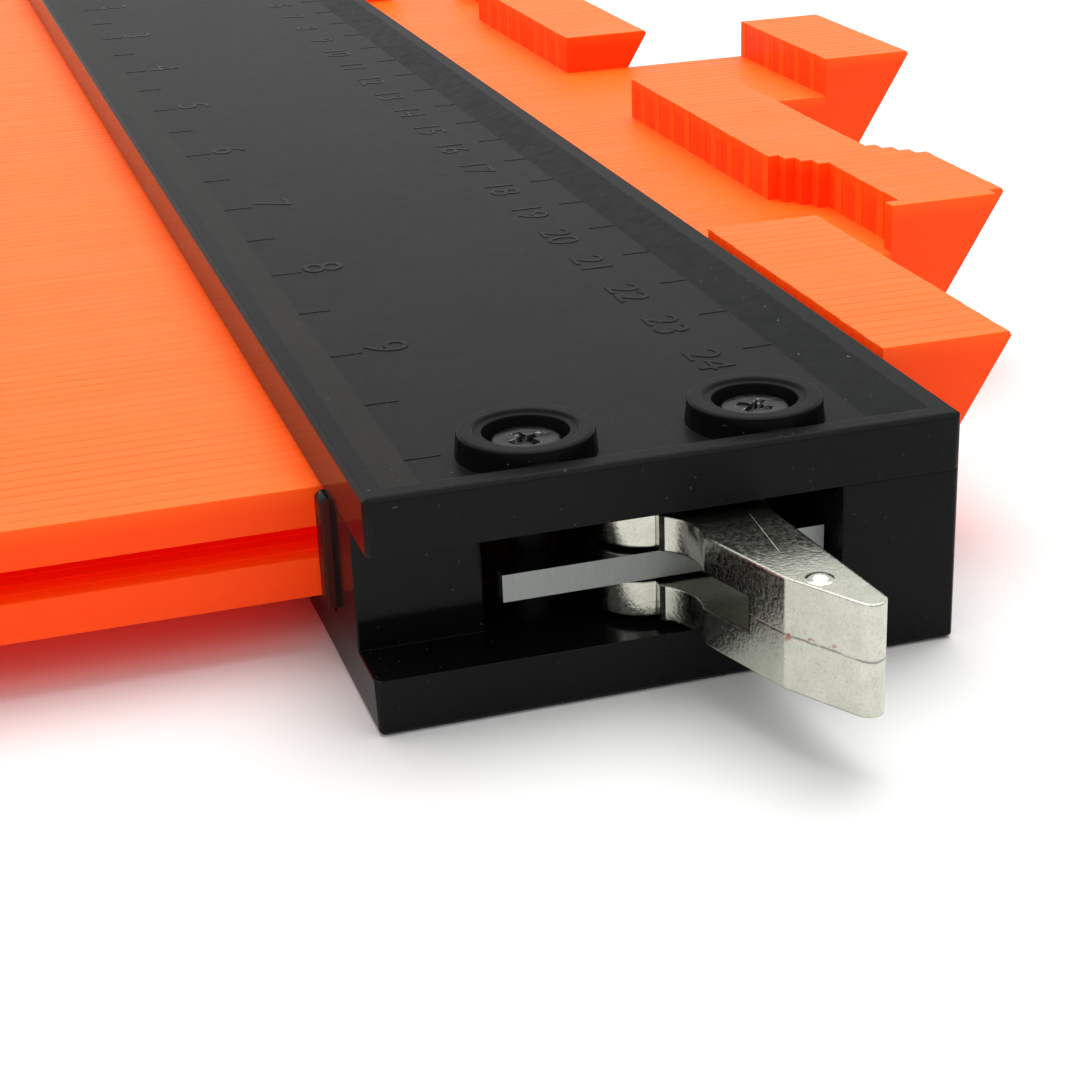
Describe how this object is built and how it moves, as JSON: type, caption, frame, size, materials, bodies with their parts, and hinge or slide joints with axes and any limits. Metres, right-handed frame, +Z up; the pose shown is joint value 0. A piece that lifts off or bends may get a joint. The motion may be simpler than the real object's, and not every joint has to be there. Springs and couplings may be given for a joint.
{
  "type": "contour gauge",
  "caption": "Contour gauge: a long black casing with a row of sliding orange tines that copy a profile and a cam lever at one end that locks them.",
  "frame": {"origin": "middle of the casing's flat underside", "axes": "+X across the casing towards the pointed heads, +Y along the row away from the lock lever, +Z up"},
  "size_m": [0.1636, 0.2894, 0.0197],
  "materials": {
    "black_abs": "satin moulded ABS with a fine grain",
    "orange_abs": "satin moulded ABS",
    "zinc_steel": "grey zinc plated strip, matte",
    "nickel": "nickel plated die casting, worn and speckled",
    "black_steel": "black oxide"
  },
  "bodies": {
    "casing": {"top_cover": "black_abs", "bottom_cover": "black_abs", "clamp_bar": "zinc_steel", "lever_pin": "zinc_steel", "cover_screws": "black_steel"},
    "lever": {"lock_lever": "nickel"},
    "plate": {"pressure_plate": "black_abs"},
    "slide_01": {"tines_01": "orange_abs"},
    "slide_02": {"tines_02": "orange_abs"},
    "slide_03": {"tines_03": "orange_abs"},
    "slide_04": {"tines_04": "orange_abs"},
    "slide_05": {"tines_05": "orange_abs"},
    "slide_06": {"tines_06": "orange_abs"},
    "slide_07": {"tines_07": "orange_abs"},
    "slide_08": {"tines_08": "orange_abs"},
    "slide_09": {"tines_09": "orange_abs"},
    "slide_10": {"tines_10": "orange_abs"},
    "slide_11": {"tines_11": "orange_abs"},
    "slide_12": {"tines_12": "orange_abs"},
    "slide_13": {"tines_13": "orange_abs"},
    "slide_14": {"tines_14": "orange_abs"},
    "slide_15": {"tines_15": "orange_abs"},
    "slide_16": {"tines_16": "orange_abs"},
    "slide_17": {"tines_17": "orange_abs"},
    "slide_18": {"tines_18": "orange_abs"},
    "slide_19": {"tines_19": "orange_abs"},
    "slide_20": {"tines_20": "orange_abs"},
    "slide_21": {"tines_21": "orange_abs"},
    "slide_22": {"tines_22": "orange_abs"},
    "slide_23": {"tines_23": "orange_abs"},
    "slide_24": {"tines_24": "orange_abs"},
    "slide_25": {"tines_25": "orange_abs"},
    "slide_26": {"tines_26": "orange_abs"},
    "slide_27": {"tines_27": "orange_abs"},
    "slide_28": {"tines_28": "orange_abs"},
    "slide_29": {"tines_29": "orange_abs"},
    "slide_30": {"tines_30": "orange_abs"},
    "slide_31": {"tines_31": "orange_abs"},
    "slide_32": {"tines_32": "orange_abs"},
    "slide_33": {"tines_33": "orange_abs"},
    "slide_34": {"tines_34": "orange_abs"},
    "slide_35": {"tines_35": "orange_abs"},
    "slide_36": {"tines_36": "orange_abs"},
    "slide_37": {"tines_37": "orange_abs"},
    "slide_38": {"tines_38": "orange_abs"},
    "slide_39": {"tines_39": "orange_abs"},
    "slide_40": {"tines_40": "orange_abs"},
    "slide_41": {"tines_41": "orange_abs"},
    "slide_42": {"tines_42": "orange_abs"},
    "slide_43": {"tines_43": "orange_abs"},
    "slide_44": {"tines_44": "orange_abs"},
    "slide_45": {"tines_45": "orange_abs"},
    "slide_46": {"tines_46": "orange_abs"},
    "slide_47": {"tines_47": "orange_abs"},
    "slide_48": {"tines_48": "orange_abs"},
    "slide_49": {"tines_49": "orange_abs"},
    "slide_50": {"tines_50": "orange_abs"}
  },
  "joints": [
    {"name": "lever_swing", "type": "hinge", "parent": "casing", "child": "lever", "pos_m": [0, -0.12935, 0.00935], "axis": [0, 0, -1], "range_deg": [0, 88]},
    {"name": "plate_push", "type": "slide", "parent": "casing", "child": "plate", "axis": [0, 1, 0], "range_m": [0, 0.00055]},
    {"name": "slide_01", "type": "slide", "parent": "casing", "child": "slide_01", "axis": [1, 0, 0], "range_m": [0, 0.058]},
    {"name": "slide_02", "type": "slide", "parent": "casing", "child": "slide_02", "axis": [1, 0, 0], "range_m": [0, 0.058]},
    {"name": "slide_03", "type": "slide", "parent": "casing", "child": "slide_03", "axis": [1, 0, 0], "range_m": [0, 0.058]},
    {"name": "slide_04", "type": "slide", "parent": "casing", "child": "slide_04", "axis": [1, 0, 0], "range_m": [0, 0.058]},
    {"name": "slide_05", "type": "slide", "parent": "casing", "child": "slide_05", "axis": [1, 0, 0], "range_m": [0, 0.058]},
    {"name": "slide_06", "type": "slide", "parent": "casing", "child": "slide_06", "axis": [1, 0, 0], "range_m": [0, 0.058]},
    {"name": "slide_07", "type": "slide", "parent": "casing", "child": "slide_07", "axis": [1, 0, 0], "range_m": [0, 0.058]},
    {"name": "slide_08", "type": "slide", "parent": "casing", "child": "slide_08", "axis": [1, 0, 0], "range_m": [0, 0.058]},
    {"name": "slide_09", "type": "slide", "parent": "casing", "child": "slide_09", "axis": [1, 0, 0], "range_m": [-0.0195, 0.0385]},
    {"name": "slide_10", "type": "slide", "parent": "casing", "child": "slide_10", "axis": [1, 0, 0], "range_m": [-0.021, 0.037]},
    {"name": "slide_11", "type": "slide", "parent": "casing", "child": "slide_11", "axis": [1, 0, 0], "range_m": [-0.021, 0.037]},
    {"name": "slide_12", "type": "slide", "parent": "casing", "child": "slide_12", "axis": [1, 0, 0], "range_m": [-0.021, 0.037]},
    {"name": "slide_13", "type": "slide", "parent": "casing", "child": "slide_13", "axis": [1, 0, 0], "range_m": [-0.0198, 0.0382]},
    {"name": "slide_14", "type": "slide", "parent": "casing", "child": "slide_14", "axis": [1, 0, 0], "range_m": [-0.0186, 0.0394]},
    {"name": "slide_15", "type": "slide", "parent": "casing", "child": "slide_15", "axis": [1, 0, 0], "range_m": [-0.0174, 0.0406]},
    {"name": "slide_16", "type": "slide", "parent": "casing", "child": "slide_16", "axis": [1, 0, 0], "range_m": [-0.0162, 0.0418]},
    {"name": "slide_17", "type": "slide", "parent": "casing", "child": "slide_17", "axis": [1, 0, 0], "range_m": [-0.0162, 0.0418]},
    {"name": "slide_18", "type": "slide", "parent": "casing", "child": "slide_18", "axis": [1, 0, 0], "range_m": [-0.0162, 0.0418]},
    {"name": "slide_19", "type": "slide", "parent": "casing", "child": "slide_19", "axis": [1, 0, 0], "range_m": [-0.0162, 0.0418]},
    {"name": "slide_20", "type": "slide", "parent": "casing", "child": "slide_20", "axis": [1, 0, 0], "range_m": [-0.0162, 0.0418]},
    {"name": "slide_21", "type": "slide", "parent": "casing", "child": "slide_21", "axis": [1, 0, 0], "range_m": [-0.0162, 0.0418]},
    {"name": "slide_22", "type": "slide", "parent": "casing", "child": "slide_22", "axis": [1, 0, 0], "range_m": [-0.0162, 0.0418]},
    {"name": "slide_23", "type": "slide", "parent": "casing", "child": "slide_23", "axis": [1, 0, 0], "range_m": [-0.0162, 0.0418]},
    {"name": "slide_24", "type": "slide", "parent": "casing", "child": "slide_24", "axis": [1, 0, 0], "range_m": [-0.0426, 0.0154]},
    {"name": "slide_25", "type": "slide", "parent": "casing", "child": "slide_25", "axis": [1, 0, 0], "range_m": [-0.0426, 0.0154]},
    {"name": "slide_26", "type": "slide", "parent": "casing", "child": "slide_26", "axis": [1, 0, 0], "range_m": [-0.0426, 0.0154]},
    {"name": "slide_27", "type": "slide", "parent": "casing", "child": "slide_27", "axis": [1, 0, 0], "range_m": [-0.0426, 0.0154]},
    {"name": "slide_28", "type": "slide", "parent": "casing", "child": "slide_28", "axis": [1, 0, 0], "range_m": [-0.0426, 0.0154]},
    {"name": "slide_29", "type": "slide", "parent": "casing", "child": "slide_29", "axis": [1, 0, 0], "range_m": [-0.0426, 0.0154]},
    {"name": "slide_30", "type": "slide", "parent": "casing", "child": "slide_30", "axis": [1, 0, 0], "range_m": [-0.017, 0.041]},
    {"name": "slide_31", "type": "slide", "parent": "casing", "child": "slide_31", "axis": [1, 0, 0], "range_m": [-0.017, 0.041]},
    {"name": "slide_32", "type": "slide", "parent": "casing", "child": "slide_32", "axis": [1, 0, 0], "range_m": [-0.017, 0.041]},
    {"name": "slide_33", "type": "slide", "parent": "casing", "child": "slide_33", "axis": [1, 0, 0], "range_m": [-0.017, 0.041]},
    {"name": "slide_34", "type": "slide", "parent": "casing", "child": "slide_34", "axis": [1, 0, 0], "range_m": [-0.017, 0.041]},
    {"name": "slide_35", "type": "slide", "parent": "casing", "child": "slide_35", "axis": [1, 0, 0], "range_m": [-0.017, 0.041]},
    {"name": "slide_36", "type": "slide", "parent": "casing", "child": "slide_36", "axis": [1, 0, 0], "range_m": [-0.017, 0.041]},
    {"name": "slide_37", "type": "slide", "parent": "casing", "child": "slide_37", "axis": [1, 0, 0], "range_m": [-0.017, 0.041]},
    {"name": "slide_38", "type": "slide", "parent": "casing", "child": "slide_38", "axis": [1, 0, 0], "range_m": [-0.018, 0.04]},
    {"name": "slide_39", "type": "slide", "parent": "casing", "child": "slide_39", "axis": [1, 0, 0], "range_m": [-0.019, 0.039]},
    {"name": "slide_40", "type": "slide", "parent": "casing", "child": "slide_40", "axis": [1, 0, 0], "range_m": [-0.02, 0.038]},
    {"name": "slide_41", "type": "slide", "parent": "casing", "child": "slide_41", "axis": [1, 0, 0], "range_m": [-0.021, 0.037]},
    {"name": "slide_42", "type": "slide", "parent": "casing", "child": "slide_42", "axis": [1, 0, 0], "range_m": [-0.021, 0.037]},
    {"name": "slide_43", "type": "slide", "parent": "casing", "child": "slide_43", "axis": [1, 0, 0], "range_m": [-0.021, 0.037]},
    {"name": "slide_44", "type": "slide", "parent": "casing", "child": "slide_44", "axis": [1, 0, 0], "range_m": [-0.0195, 0.0385]},
    {"name": "slide_45", "type": "slide", "parent": "casing", "child": "slide_45", "axis": [1, 0, 0], "range_m": [0, 0.058]},
    {"name": "slide_46", "type": "slide", "parent": "casing", "child": "slide_46", "axis": [1, 0, 0], "range_m": [0, 0.058]},
    {"name": "slide_47", "type": "slide", "parent": "casing", "child": "slide_47", "axis": [1, 0, 0], "range_m": [0, 0.058]},
    {"name": "slide_48", "type": "slide", "parent": "casing", "child": "slide_48", "axis": [1, 0, 0], "range_m": [0, 0.058]},
    {"name": "slide_49", "type": "slide", "parent": "casing", "child": "slide_49", "axis": [1, 0, 0], "range_m": [0, 0.058]},
    {"name": "slide_50", "type": "slide", "parent": "casing", "child": "slide_50", "axis": [1, 0, 0], "range_m": [0, 0.058]}
  ],
  "couplings": [
    {"joint": "plate_push", "follows": "lever_swing", "m_per_rad": 0.0003581}
  ]
}
